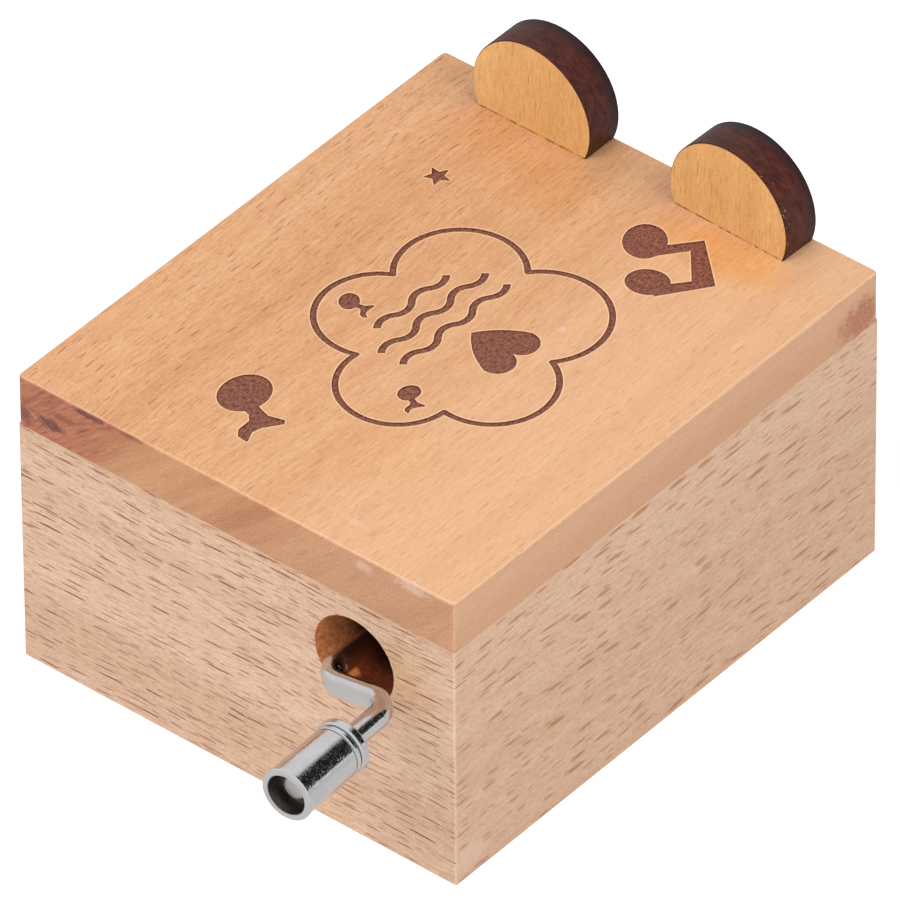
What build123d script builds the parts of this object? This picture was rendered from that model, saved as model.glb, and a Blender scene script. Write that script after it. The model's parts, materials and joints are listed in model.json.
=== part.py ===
from build123d import *
import os
from math import acos, cos, pi, radians, sin, sqrt, tan

# Hand cranked wooden music box.  Millimetres.  X runs along the crank side, +Y points to the
# ears, +Z is up.  The origin is the centre of the underside, and the crank side faces -Y.

# ---- wooden case ----
case_width = 54.0
case_depth = 64.0
wall = 7.0
lid_thickness = 6.0
wall_corner_round = 0.25
foot_edge_round = 0.22
lid_corner_round = 0.6
lid_edge_round = 0.3
base_thickness = 3.0
ledge_width = 4.6
base_gap = 0.2

# ---- ears: flat-bottomed discs glued on the lid ----
ear_radius = 7.38
ear_thickness = 4.43
ear_back_inset = 0.1
ear_edge_break = 0.1
left_ear_inset = 14.65
left_ear_rise = 3.05
left_ear_turn = -0.3
right_ear_inset = 14.85
right_ear_rise = 2.7
right_ear_turn = -1.8

# ---- engraving, cut into the lid's top ----
engraving_depth = 0.15
drawing_unit = 1.0
drawing_shift = -0.12
cloud_line = 0.65
wave_line = 0.75
wave_length = 5.2
wave_height = 0.95
wave_crest_counts = (6, 6, 4)
wave_spacing = 2.7
heart_size = 7.4
star_radius = 1.5
small_note_scale = 0.42

# ---- crank: round wire, bent and pressed flat along the arm ----
crank_to_lid = 6.9
wire_diameter = 2.4
wire_end_break = 0.25
arm_standoff = 4.4
arm_length = 8.85
arm_tilt = 9.6
arm_width = 2.5
arm_thickness = 1.55
arm_corner = 0.6
bend_radius = 2.5
neck_length = 7.25
pin_splay = 3.0
spindle_diameter = 2.0
rivet_diameter = 2.9
rivet_height = 0.75
hole_diameter = 9.7
hole_shift_x = 0.45
hole_shift_z = -0.4

# ---- knob: a turned sleeve that spins on the wire's end ----
knob_length = 9.35
knob_diameter = 5.52
knob_rim_diameter = 5.85
knob_rim_length = 1.05
knob_band_diameter = 5.6
knob_band_length = 0.5
knob_groove_width = 0.12
knob_groove_depth = 0.2
knob_lip_diameter = 5.72
knob_lip_length = 0.6
knob_mouth_diameter = 4.25
knob_mouth_depth = 2.1
knob_edge_round = 0.25
knob_edge_break = 0.1

# ---- running and assembly clearances ----
running_clearance = 0.05
end_play = 0.2
screw_clearance = 0.05
tolerance = 0.001

# ---- worm drive ----
gear_module = 0.5
wheel_teeth = 20
worm_pitch_diameter = 4.5
worm_turns = 4
pressure_angle = 20.0
tooth_backlash = 0.09
root_clearance = 0.15
wheel_width = 2.4
wheel_spacer = 3.5
wheel_spacer_diameter = 4.0

# ---- pinned cylinder ----
arbor_y = -10.0
arbor_diameter = 2.0
sleeve_diameter = 12.6
sleeve_wall = 0.8
cap_thickness = 1.0
cap_hub_diameter = 4.0
cap_hub_length = 1.4
pin_diameter = 0.4
pin_height = 0.5
melody_step_count = 48
bass_step_count = 6

# ---- comb ----
note_count = 18
comb_margin = 0.6
tooth_thickness = 0.8
tooth_slot = 0.3
tip_slot = 0.55
tip_length = 1.2
tip_gap = 0.08
longest_tooth = 15.0
shortest_tooth = 9.0
comb_base_depth = 8.0
comb_base_thickness = 2.2
weight_count = 6
weight_length = 3.0
weight_height = 2.2
weight_step = 0.2
weight_setback = 0.8

# ---- bedplate and brackets ----
bed_thickness = 2.0
bed_margin = 0.8
side_room = 1.0
cylinder_to_bed = 3.05
bed_corner = 2.0
boss_diameter = 5.0
boss_height = 2.5
sheet = 1.2
bracket_width = 9.0
bracket_foot = 4.9
drive_leg_half = 3.4

# ---- screws: shank diameter, head diameter, head height ----
wood_screw = (1.8, 3.2, 1.2)
wood_screw_bite = 5.0
wood_screw_x = 14.0
movement_screw = (2.5, 4.6, 1.4)
movement_screw_bite = 4.0
movement_screw_x = 6.5
comb_screw = (2.0, 3.6, 1.3)
comb_screw_bite = 5.0
comb_screw_x = 5.5
bracket_screw = (1.6, 3.0, 1.0)
bracket_screw_bite = 1.6
head_recess = 0.1
slot_width_share = 0.2

# ---- places worked out from the sizes above ----
half_width = case_width / 2
half_depth = case_depth / 2
inner_half_width = half_width - wall
inner_half_depth = half_depth - wall

worm_lead = pi * gear_module
wheel_pitch_radius = gear_module * wheel_teeth / 2
wheel_tip_radius = wheel_pitch_radius + gear_module
wheel_root_radius = wheel_pitch_radius - gear_module - root_clearance
worm_tip_radius = worm_pitch_diameter / 2 + gear_module
worm_root_radius = worm_pitch_diameter / 2 - gear_module - root_clearance
tooth_width = worm_lead / 2 - tooth_backlash

# Heights, from the table up: base board, bedplate, cylinder, crank, lid.
sleeve_radius = sleeve_diameter / 2
bed_top = base_thickness + bed_thickness
arbor_z = bed_top + cylinder_to_bed + sleeve_radius + pin_height
crank_z = arbor_z + worm_pitch_diameter / 2 + wheel_pitch_radius
body_height = crank_z + crank_to_lid
lid_top = body_height + lid_thickness

# From the right wall inwards: bedplate's edge, side leg, wheel and crank, cylinder.
bed_right = inner_half_width - side_room
side_leg_out = bed_right - bed_margin
side_leg_in = side_leg_out - sheet
wheel_right = side_leg_in - end_play - cap_hub_length
crank_x = wheel_right - wheel_width / 2
wheel_left = wheel_right - wheel_width
sleeve_right = wheel_left - wheel_spacer

# From the left wall inwards: bedplate's edge, left bracket, cylinder.
bed_left = side_room - inner_half_width
bracket_foot_end = bed_left + bed_margin
left_bracket_out = bracket_foot_end + bracket_foot
left_bracket_in = left_bracket_out + sheet
sleeve_left = left_bracket_in + end_play + cap_hub_length
sleeve_length = sleeve_right - sleeve_left
sleeve_mid = (sleeve_left + sleeve_right) / 2
note_pitch = sleeve_length / (note_count + 2)

drive_left = crank_x - drive_leg_half
rear_leg_in = arbor_y + wheel_tip_radius + 2 * end_play
front_leg_in = arbor_y - wheel_tip_radius - 2 * end_play
rear_leg_out = rear_leg_in + sheet
front_leg_out = front_leg_in - sheet

tip_y = arbor_y + sleeve_radius + pin_height + tip_gap
comb_width = note_count * note_pitch + 2 * comb_margin
comb_root_y = tip_y + longest_tooth
comb_back_y = comb_root_y + comb_base_depth
comb_top = arbor_z + tooth_thickness / 2
seat_top = comb_top - comb_base_thickness
comb_screw_y = comb_root_y + comb_base_depth / 2

bed_front = front_leg_out - bed_margin - boss_diameter / 2
bed_back = comb_back_y + bed_margin
boss_y = bed_front + boss_diameter / 2

arm_y = -half_depth - arm_standoff
ledge_half_width = inner_half_width + ledge_width
ledge_half_depth = inner_half_depth + ledge_width
wood_screw_y = inner_half_depth + ledge_width / 2


def block(x0, x1, y0, y1, z0, z1):
    """A box between two corners."""
    size = (x1 - x0, y1 - y0, z1 - z0)
    middle = ((x0 + x1) / 2, (y0 + y1) / 2, (z0 + z1) / 2)
    return Pos(*middle) * Box(*size)


def rod(start, end, diameter):
    """A round bar from start to end."""
    start = Vector(*start)
    along = Vector(*end) - start
    plane = Plane(origin=start, z_dir=along)
    return plane * extrude(Circle(diameter / 2), amount=along.length)


def screw(x, y, seat_z, up, sizes, bite):
    """A pan head screw seated at seat_z.  up is +1 where its tip points up, -1 where down."""
    shank, head, head_height = sizes
    axis = Plane(origin=(x, y, seat_z), z_dir=(0, 0, up))
    body = extrude(Circle(shank / 2), amount=bite)
    cap = extrude(Circle(head / 2), amount=-head_height)
    cap = fillet(cap.edges().group_by(Axis.Z)[0], head_height * 0.35)
    slot = Pos(0, 0, -head_height) * Box(head, head * slot_width_share, head_height)
    return axis * (body + cap - slot)


# ---------------------------------------------------------------- wooden case

def wall_ring():
    """The four walls as one frame, with the ledge for the base board cut round its inside."""
    ring = extrude(Rectangle(case_width, case_depth), amount=body_height)
    ring = fillet(ring.edges().filter_by(Axis.Z), wall_corner_round)
    ring = fillet(ring.faces().sort_by(Axis.Z)[0].edges(), foot_edge_round)
    ring -= extrude(Rectangle(2 * inner_half_width, 2 * inner_half_depth), amount=body_height)
    return ring - extrude(Rectangle(2 * ledge_half_width, 2 * ledge_half_depth), amount=base_thickness)


def mitre_wedge(side):
    """The quarter of the plan that one wall keeps, cut at 45 degrees through the corners."""
    far = case_width + case_depth
    corner_x = half_width - half_depth
    ridge = max(-corner_x, 0)
    flat = max(corner_x, 0)
    front = [(-flat, -ridge), (flat, -ridge), (flat + far, -ridge - far), (-flat - far, -ridge - far)]
    right = [(flat, -ridge), (flat + far, -ridge - far), (flat + far, ridge + far), (flat, ridge)]
    outline = {
        "front": front,
        "back": [(x, -y) for x, y in front],
        "right": right,
        "left": [(-x, y) for x, y in right],
    }[side]
    if ridge == 0 and side in ("left", "right"):
        outline = outline[:3]
    if flat == 0 and side in ("front", "back"):
        outline = [outline[0]] + outline[2:]
    return extrude(make_face(Polyline(*outline, close=True)), amount=body_height)


def case_wall(side):
    """One mitred wall."""
    piece = wall_ring() & mitre_wedge(side)
    if side == "front":
        piece -= rod(
            (crank_x + hole_shift_x, -half_depth - 1, crank_z + hole_shift_z),
            (crank_x + hole_shift_x, -inner_half_depth + 1, crank_z + hole_shift_z),
            hole_diameter,
        )
    if side in ("front", "back"):
        y = -wood_screw_y if side == "front" else wood_screw_y
        pilot = wood_screw[0] + 2 * screw_clearance
        for x in (-wood_screw_x, wood_screw_x):
            piece -= rod((x, y, 0), (x, y, seat_of_wood_screw() + wood_screw_bite + head_recess), pilot)
    return piece


def seat_of_wood_screw():
    """Height of the shoulder that a base screw's head bears on."""
    return wood_screw[2] + head_recess


def seat_of_movement_screw():
    """Height of the shoulder that a movement screw's head bears on."""
    return movement_screw[2] + head_recess


def movement_screw_places():
    """Two screws along the bedplate's front edge, and one under the comb's seat."""
    front = [(sleeve_mid + side * movement_screw_x, boss_y) for side in (-1, 1)]
    return front + [(sleeve_mid, comb_screw_y)]


def base_board():
    """The bottom board, let into the ledge, with stepped holes for the screws."""
    board = extrude(
        Rectangle(2 * (ledge_half_width - base_gap), 2 * (ledge_half_depth - base_gap)),
        amount=base_thickness,
    )
    board = fillet(board.edges().filter_by(Axis.Z), wall_corner_round)
    for x in (-wood_screw_x, wood_screw_x):
        for y in (-wood_screw_y, wood_screw_y):
            board -= stepped_hole(x, y, wood_screw, seat_of_wood_screw())
    for x, y in movement_screw_places():
        board -= stepped_hole(x, y, movement_screw, seat_of_movement_screw())
    return board


def stepped_hole(x, y, sizes, seat_z):
    """A clearance hole with a wider recess for the head, drilled from below."""
    through = rod((x, y, 0), (x, y, base_thickness), sizes[0] + 4 * screw_clearance)
    recess = rod((x, y, 0), (x, y, seat_z), sizes[1] + 4 * screw_clearance)
    return through + recess


def lid_board():
    """The solid top board with its engraving."""
    board = extrude(Rectangle(case_width, case_depth), amount=lid_thickness)
    board = fillet(board.edges().filter_by(Axis.Z), lid_corner_round)
    board = fillet(board.faces().sort_by(Axis.Z)[-1].edges(), lid_edge_round)
    board = Pos(0, 0, body_height) * board
    cut = Pos(0, 0, lid_top - engraving_depth) * extrude(engraving(), amount=2 * engraving_depth)
    return board - cut


def ear(x, rise, turn):
    """A disc with a flat bottom, standing on the lid beside its back edge."""
    centre_z = lid_top + rise
    disc = Circle(ear_radius) - Pos(0, -rise - ear_radius) * Rectangle(4 * ear_radius, 2 * ear_radius)
    solid = extrude(disc, amount=ear_thickness / 2, both=True)
    rims = solid.edges().filter_by(GeomType.CIRCLE)
    solid = chamfer(rims, ear_edge_break)
    middle_y = half_depth - ear_back_inset - ear_thickness / 2
    stand = Plane(origin=(x, middle_y, centre_z), x_dir=(1, 0, 0), z_dir=(0, -1, 0))
    return Pos(x, middle_y, 0) * Rot(0, 0, turn) * Pos(-x, -middle_y, 0) * (stand * solid)


# ---------------------------------------------------------------- engraving

def drawn(points):
    """Points of the drawing, at the size it is cut to."""
    return [(x * drawing_unit, y * drawing_unit) for x, y in points]


def cloud_ring():
    """A five-lobed cloud drawn as one line."""
    cusps = drawn([(1.0, 10.75), (11.4, 1.75), (8.15, -10.5), (-3.85, -9.15), (-8.85, 2.35)])
    crests = drawn([(10.25, 11.9), (15.1, -5.5), (2.25, -16.1), (-12.0, -5.0), (-7.9, 11.9)])
    arcs = []
    for index, crest in enumerate(crests):
        arcs.append(ThreePointArc(cusps[index], crest, cusps[(index + 1) % len(cusps)]))
    middle = make_face(Curve() + arcs)
    return offset(middle, amount=cloud_line / 2) - offset(middle, amount=-cloud_line / 2)


def quaver(x, y, size, turn):
    """A round note head with a short stem that splits into two curled ends."""
    head = Ellipse(2.45 * drawing_unit, 2.98 * drawing_unit)
    stem = [
        (1.5, -0.3), (2.6, -0.8), (3.9, -1.2), (5.6, -0.7), (5.95, -1.2), (4.6, -3.05),
        (4.35, -4.1), (4.95, -5.5), (3.7, -5.4), (3.05, -4.6), (3.0, -2.9), (2.4, -2.25), (1.2, -2.0),
    ]
    tail = make_face(Polyline(*drawn(stem), close=True))
    tail = fillet(tail.vertices(), 0.16 * drawing_unit)
    return Pos(*drawn([(x, y)])[0]) * Rot(0, 0, turn) * scale(head + tail, by=size)


def joined_notes():
    """Two note heads whose stems meet in one thick beam."""
    beam = [
        (8.6, 22.2), (11.1, 25.2), (16.3, 20.45), (12.6, 15.4),
        (12.2, 17.4), (14.05, 19.6), (11.1, 23.1), (8.3, 19.6),
    ]
    first, second = drawn([(6.75, 21.5), (10.85, 16.85)])
    notes = make_face(Polyline(*drawn(beam), close=True))
    notes += Pos(*first) * Rot(0, 0, 35) * Ellipse(2.2 * drawing_unit, 2.65 * drawing_unit)
    return notes + Pos(*second) * Rot(0, 0, 20) * Ellipse(2.25 * drawing_unit, 1.95 * drawing_unit)


def star():
    """A five-pointed star."""
    points = []
    for index in range(10):
        reach = star_radius if index % 2 == 0 else star_radius * 0.45
        angle = radians(80 + 36 * index)
        points.append((reach * cos(angle), reach * sin(angle)))
    return Pos(*drawn([(-15.1, 16.65)])[0]) * make_face(Polyline(*points, close=True))


def heart():
    """A heart, standing on its point, about its own middle."""
    half = heart_size / 2
    tip = (0, -0.92 * half)
    shoulder = (0.98 * half, 0.3 * half)
    notch = (0, 0.46 * half)
    side = ThreePointArc(tip, (0.6 * half, -0.36 * half), shoulder)
    lobe = ThreePointArc(shoulder, (0.52 * half, 0.85 * half), notch)
    half_face = make_face(Curve() + [side, lobe, Line(notch, tip)])
    return half_face + mirror(half_face, about=Plane.YZ)


def wave(crests):
    """A line that swings to and fro in equal arcs, about its own middle."""
    half = wave_length / 2
    start = -crests * half / 2
    line = []
    for index in range(crests):
        x = start + index * half
        swing = wave_height / 2 if index % 2 == 0 else -wave_height / 2
        line.append(ThreePointArc((x, 0), (x + half / 2, swing), (x + half, 0)))
    return trace(Curve() + line, line_width=wave_line)


def cloud_figure():
    """A heart over a few wavy lines, which reads from the left side of the box."""
    figure = heart()
    for index, crests in enumerate(wave_crest_counts):
        figure += Pos(0, -heart_size * 0.73 - wave_spacing * index) * wave(crests)
    return Pos(*drawn([(6.0, 0.3)])[0]) * Rot(0, 0, -90) * figure


def engraving():
    """Everything that is cut into the lid, seen from above."""
    drawing = cloud_ring() + cloud_figure() + star() + joined_notes()
    drawing += quaver(-8.4, -20.27, 1, 0)
    drawing += quaver(-9.5, -3.4, small_note_scale, 32)
    drawing += quaver(3.75, -10.4, small_note_scale, -4)
    return Pos(0, drawing_shift) * drawing


# ---------------------------------------------------------------- crank and knob

arm_direction = Vector(cos(radians(arm_tilt)), 0, sin(radians(arm_tilt)))
shaft_direction = Vector(0, -1, 0)
pin_direction = shaft_direction * cos(radians(pin_splay)) + arm_direction * sin(radians(pin_splay))
shaft_corner = Vector(crank_x, arm_y, crank_z)
pin_corner = shaft_corner + arm_direction * arm_length
knob_start = pin_corner + pin_direction * neck_length
knob_end = knob_start + pin_direction * knob_length
rivet_seat = knob_end - pin_direction * (knob_mouth_depth - end_play / 2)


def wire_section(flatness):
    """The wire's section, from round at 0 to a flattened bar at 1."""
    width = wire_diameter + (arm_width - wire_diameter) * flatness
    depth = wire_diameter + (arm_thickness - wire_diameter) * flatness
    round_corner = wire_diameter / 2 * 0.96
    corner = round_corner + (arm_corner - round_corner) * flatness
    return RectangleRounded(width, depth, corner)


def bend(corner, come, go, flat_start, flat_end):
    """A bend that takes the wire from direction come to direction go about a corner point."""
    turn = radians(come.get_angle(go))
    inward = (go - come * come.dot(go)).normalized()
    start = corner - come * (bend_radius * tan(turn / 2))
    steps = 4
    sections = []
    for index in range(steps + 1):
        angle = turn * index / steps
        share = index / steps
        place = start + inward * (bend_radius * (1 - cos(angle))) + come * (bend_radius * sin(angle))
        heading = come * cos(angle) + inward * sin(angle)
        across = come.cross(inward)
        plane = Plane(origin=place, x_dir=across, z_dir=heading)
        flatness = flat_start + (flat_end - flat_start) * share
        sections.append(plane * wire_section(flatness))
    return loft(sections)


def crank_wire():
    """One length of wire: shaft, bend, flattened arm, bend, neck, spindle and riveted end."""
    first_reach = bend_radius * tan(radians(shaft_direction.get_angle(arm_direction)) / 2)
    second_reach = bend_radius * tan(radians(arm_direction.get_angle(pin_direction)) / 2)
    shaft_end = shaft_corner - shaft_direction * first_reach
    wire = rod((crank_x, rear_leg_out + 2 * sheet, crank_z), shaft_end, wire_diameter)
    wire = chamfer(wire.edges().sort_by(Axis.Y)[-1], wire_end_break)
    wire += bend(shaft_corner, shaft_direction, arm_direction, 0, 1)
    arm_start = shaft_corner + arm_direction * first_reach
    arm_plane = Plane(origin=arm_start, x_dir=shaft_direction.cross(arm_direction), z_dir=arm_direction)
    wire += arm_plane * extrude(wire_section(1), amount=arm_length - first_reach - second_reach)
    wire += bend(pin_corner, arm_direction, pin_direction, 1, 0)
    neck_start = pin_corner + pin_direction * second_reach
    neck_end = knob_start - pin_direction * (end_play / 2)
    wire += rod(neck_start, neck_end, wire_diameter)
    wire += rod(neck_end, rivet_seat, spindle_diameter)
    rivet = extrude(Circle(rivet_diameter / 2), amount=rivet_height)
    rivet = fillet(rivet.edges().sort_by(Axis.Z)[-1], rivet_height * 0.6)
    return wire + Plane(origin=rivet_seat, z_dir=pin_direction) * rivet


def lies_at(circle, radius, height):
    """Whether a circular edge about Z has this radius and height."""
    return abs(circle.radius - radius) < tolerance and abs(circle.center().Z - height) < tolerance


def crank_knob():
    """A turned sleeve: rim, groove, band and groove at its inner end, lip and open mouth at its outer end."""
    barrel = knob_diameter / 2
    rim = knob_rim_diameter / 2
    band = knob_band_diameter / 2
    lip = knob_lip_diameter / 2
    mouth = knob_mouth_diameter / 2
    bore = spindle_diameter / 2 + running_clearance
    floor = barrel - knob_groove_depth
    band_start = knob_rim_length + knob_groove_width
    band_end = band_start + knob_band_length
    barrel_start = band_end + knob_groove_width
    lip_start = knob_length - knob_lip_length
    profile = [
        (bore, 0), (rim, 0), (rim, knob_rim_length), (floor, knob_rim_length),
        (floor, band_start), (band - knob_edge_break, band_start), (band, band_start + knob_edge_break),
        (band, band_end - knob_edge_break), (band - knob_edge_break, band_end), (floor, band_end),
        (floor, barrel_start), (barrel - knob_edge_break, barrel_start), (barrel, barrel_start + knob_edge_break),
        (barrel, lip_start), (lip, lip_start + knob_edge_break), (lip, knob_length),
        (mouth + knob_edge_break, knob_length), (mouth, knob_length - knob_edge_break),
        (mouth, knob_length - knob_mouth_depth), (bore, knob_length - knob_mouth_depth),
    ]
    outline = Plane.XZ * make_face(Polyline(*profile, close=True))
    turned = revolve(outline, axis=Axis.Z)
    rounded = [(rim, 0), (rim, knob_rim_length), (lip, knob_length)]
    circles = turned.edges().filter_by(GeomType.CIRCLE)
    edges = [edge for edge in circles if any(lies_at(edge, radius, height) for radius, height in rounded)]
    turned = fillet(edges, knob_edge_round)
    return Plane(origin=knob_start, z_dir=pin_direction) * turned


def crank_clip():
    """An open retaining ring behind the rear bearing leg."""
    start = rear_leg_out + end_play
    ring = extrude(Circle(wire_diameter) - Circle(wire_diameter / 2), amount=sheet / 2)
    ring -= Pos(wire_diameter, 0, 0) * Box(2 * wire_diameter, wire_diameter * 0.5, 2 * sheet)
    return Plane(origin=(crank_x, start, crank_z), x_dir=(1, 0, 0), z_dir=(0, 1, 0)) * ring


# ---------------------------------------------------------------- worm drive

def worm():
    """A single-start right-hand worm on a long hub that fills the space between the legs."""
    pitch_radius = worm_pitch_diameter / 2
    slope = tan(radians(pressure_angle))
    foot_radius = worm_root_radius - 0.1
    foot_half = tooth_width / 2 + (pitch_radius - foot_radius) * slope
    tip_half = tooth_width / 2 - gear_module * slope
    section = make_face(Polyline(
        (foot_radius, 0, -foot_half), (worm_tip_radius, 0, -tip_half),
        (worm_tip_radius, 0, tip_half), (foot_radius, 0, foot_half), close=True))
    path = Helix(pitch=worm_lead, height=worm_turns * worm_lead, radius=pitch_radius)
    thread = sweep(section, path=path, is_frenet=True)
    lead_in = worm_turns * worm_lead / 2
    thread = Pos(0, 0, -lead_in) * thread
    hub_low = front_leg_in + end_play - arbor_y
    hub_high = rear_leg_in - end_play - arbor_y
    hub = Pos(0, 0, hub_low) * extrude(Circle(worm_root_radius), amount=hub_high - hub_low)
    bore = Pos(0, 0, hub_low) * extrude(Circle(wire_diameter / 2), amount=hub_high - hub_low)
    place = Plane(origin=(crank_x, arbor_y, crank_z), x_dir=(0, 0, 1), z_dir=(0, 1, 0))
    return place * (hub + thread - bore)


def involute_half_angle(radius):
    """Half the angle that a wheel tooth covers at a radius."""
    base_radius = wheel_pitch_radius * cos(radians(pressure_angle))
    def involute(angle):
        return tan(angle) - angle
    at_pitch = tooth_width / 2 / wheel_pitch_radius + involute(radians(pressure_angle))
    return at_pitch - involute(acos(min(1, base_radius / radius)))


def worm_wheel():
    """A brass wheel whose teeth lean with the worm's thread, with a spacer and a thrust hub."""
    base_radius = wheel_pitch_radius * cos(radians(pressure_angle))
    def flank(radius, side, angle_radius=None):
        angle = side * involute_half_angle(angle_radius or radius)
        return (radius * sin(angle), radius * cos(angle))
    middle_radius = (base_radius + wheel_tip_radius) / 2
    foot = wheel_root_radius - 0.1
    outline = [
        Line(flank(foot, -1, base_radius), flank(base_radius, -1)),
        ThreePointArc(flank(base_radius, -1), flank(middle_radius, -1), flank(wheel_tip_radius, -1)),
        Line(flank(wheel_tip_radius, -1), flank(wheel_tip_radius, 1)),
        ThreePointArc(flank(wheel_tip_radius, 1), flank(middle_radius, 1), flank(base_radius, 1)),
        Line(flank(base_radius, 1), flank(foot, 1, base_radius)),
        Line(flank(foot, 1, base_radius), flank(foot, -1, base_radius)),
    ]
    # Sketch X becomes +Y of the box, sketch Y becomes +Z, so the wheel's axis is +X.
    face = make_face(Curve() + outline)
    lead_slope = worm_lead / (pi * worm_pitch_diameter)
    lean = Vector(-lead_slope, 0, 1)
    tooth = extrude(face, amount=wheel_width / 2 * sqrt(1 + lead_slope ** 2), dir=lean)
    tooth += extrude(face, amount=wheel_width / 2 * sqrt(1 + lead_slope ** 2), dir=lean * -1)
    disc = extrude(Circle(wheel_root_radius), amount=wheel_width / 2, both=True)
    teeth = [Rot(0, 0, 360 / wheel_teeth * index) * tooth for index in range(wheel_teeth)]
    wheel = disc + teeth
    spacer = extrude(Circle(wheel_spacer_diameter / 2), amount=-(wheel_width / 2 + wheel_spacer))
    thrust = extrude(Circle(wheel_spacer_diameter / 2), amount=wheel_width / 2 + cap_hub_length)
    bore = Cylinder(arbor_diameter / 2, 4 * (wheel_width + wheel_spacer))
    place = Plane(origin=(crank_x, arbor_y, arbor_z), x_dir=(0, 1, 0), z_dir=(1, 0, 0))
    return place * (wheel + spacer + thrust - bore)


# ---------------------------------------------------------------- pinned cylinder

def around_arbor(x):
    """A plane across the arbor at x, whose own X is the box's +Y."""
    return Plane(origin=(x, arbor_y, arbor_z), x_dir=(0, 1, 0), z_dir=(1, 0, 0))


def cylinder_sleeve():
    """A thin brass tube with short pins, one track to a comb tooth."""
    tube = extrude(Circle(sleeve_radius) - Circle(sleeve_radius - sleeve_wall), amount=sleeve_length)
    sleeve = around_arbor(sleeve_left) * tube
    pins = []
    for step in range(melody_step_count):
        pins.append((step, round((note_count - 1) / 2 * (1 + sin(2 * pi * 5 * step / melody_step_count)))))
        if step % bass_step_count == 0:
            pins.append((step + 0.5, (step // bass_step_count) % 3))
    for step, note in pins:
        x = sleeve_mid + (note - (note_count - 1) / 2) * note_pitch
        angle = 2 * pi * step / melody_step_count
        out = Vector(0, cos(angle), sin(angle))
        foot = Vector(x, arbor_y, arbor_z) + out * (sleeve_radius - sleeve_wall / 2)
        sleeve += rod(foot, foot + out * (sleeve_wall / 2 + pin_height), pin_diameter)
    return sleeve


def end_cap(left):
    """A disc pressed into one end of the sleeve.  The left one has a thrust hub."""
    disc = extrude(Circle(sleeve_radius - sleeve_wall), amount=cap_thickness)
    if left:
        disc += extrude(Circle(cap_hub_diameter / 2), amount=-cap_hub_length)
    disc -= Cylinder(arbor_diameter / 2, 8 * (cap_thickness + cap_hub_length))
    return around_arbor(sleeve_left if left else sleeve_right - cap_thickness) * disc


def cylinder_arbor():
    """The steel axle that carries the cylinder and the wheel."""
    return rod((left_bracket_out, arbor_y, arbor_z), (side_leg_out, arbor_y, arbor_z), arbor_diameter)


# ---------------------------------------------------------------- comb

def tooth_x(index):
    """Middle of a comb tooth, counted from the low notes at the left."""
    return sleeve_mid + (index - (note_count - 1) / 2) * note_pitch


def comb():
    """A steel comb: a thick root, and teeth that get shorter towards the high notes."""
    left = sleeve_mid - comb_width / 2
    right = sleeve_mid + comb_width / 2
    plate = block(left, right, tip_y, comb_root_y, comb_top - tooth_thickness, comb_top)
    plate += block(left, right, comb_root_y, comb_back_y, seat_top, comb_top)
    slots = []
    for index in range(note_count - 1):
        x = tooth_x(index) + note_pitch / 2
        share = index / (note_count - 2)
        end_y = tip_y + longest_tooth + (shortest_tooth - longest_tooth) * share - tooth_slot
        slots.append(block(x - tooth_slot / 2, x + tooth_slot / 2, tip_y - 1, end_y, seat_top, comb_top + 1))
        slots.append(block(x - tip_slot / 2, x + tip_slot / 2, tip_y - 1, tip_y + tip_length,
                           seat_top, comb_top + 1))
    plate -= slots
    for side in (-1, 1):
        x = sleeve_mid + side * comb_screw_x
        plate -= rod((x, comb_screw_y, seat_top - 1), (x, comb_screw_y, comb_top + 1),
                     comb_screw[0] + 2 * screw_clearance)
    return plate


def comb_weights():
    """Lead tuning weights under the lowest teeth."""
    half = (note_pitch - tooth_slot) / 2 - screw_clearance
    under = comb_top - tooth_thickness
    front = tip_y + weight_setback
    weights = []
    for index in range(weight_count):
        x = tooth_x(index)
        drop = weight_height - weight_step * index
        weights.append(block(x - half, x + half, front, front + weight_length, under - drop, under))
    return Compound(weights)


# ---------------------------------------------------------------- bedplate, brackets, screws

def bedplate():
    """The cast plate that carries the movement, with the comb's seat and screw bosses."""
    width = bed_right - bed_left
    depth = bed_back - bed_front
    plate = extrude(RectangleRounded(width, depth, bed_corner), amount=bed_thickness)
    bed = Pos((bed_left + bed_right) / 2, (bed_front + bed_back) / 2, base_thickness) * plate
    seat_half = comb_width / 2 + bed_margin
    bed += block(sleeve_mid - seat_half, sleeve_mid + seat_half, comb_root_y, comb_back_y, bed_top, seat_top)
    tip_z = seat_of_movement_screw() + base_thickness + movement_screw_bite
    for x, y in movement_screw_places()[:2]:
        bed += rod((x, y, bed_top), (x, y, bed_top + boss_height), boss_diameter)
    for x, y in movement_screw_places():
        tap = movement_screw[0] + 2 * screw_clearance
        bed -= rod((x, y, 0), (x, y, min(tip_z, bed_top + boss_height - 0.4)), tap)
    for side in (-1, 1):
        x = sleeve_mid + side * comb_screw_x
        tap = comb_screw[0] + 2 * screw_clearance
        bed -= rod((x, comb_screw_y, seat_top - comb_screw_bite - 0.3), (x, comb_screw_y, seat_top + 1), tap)
    for x, y in bracket_screw_places():
        tap = bracket_screw[0] + 2 * screw_clearance
        bed -= rod((x, y, bed_top - bracket_screw_bite), (x, y, bed_top + 1), tap)
    return bed


def bracket_screw_places():
    """One screw in the left bracket's foot, and two in the drive bracket's floor."""
    foot_x = left_bracket_out - bracket_foot / 2
    reach = wheel_tip_radius * 0.6
    return [(foot_x, arbor_y), (crank_x, arbor_y - reach), (crank_x, arbor_y + reach)]


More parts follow.
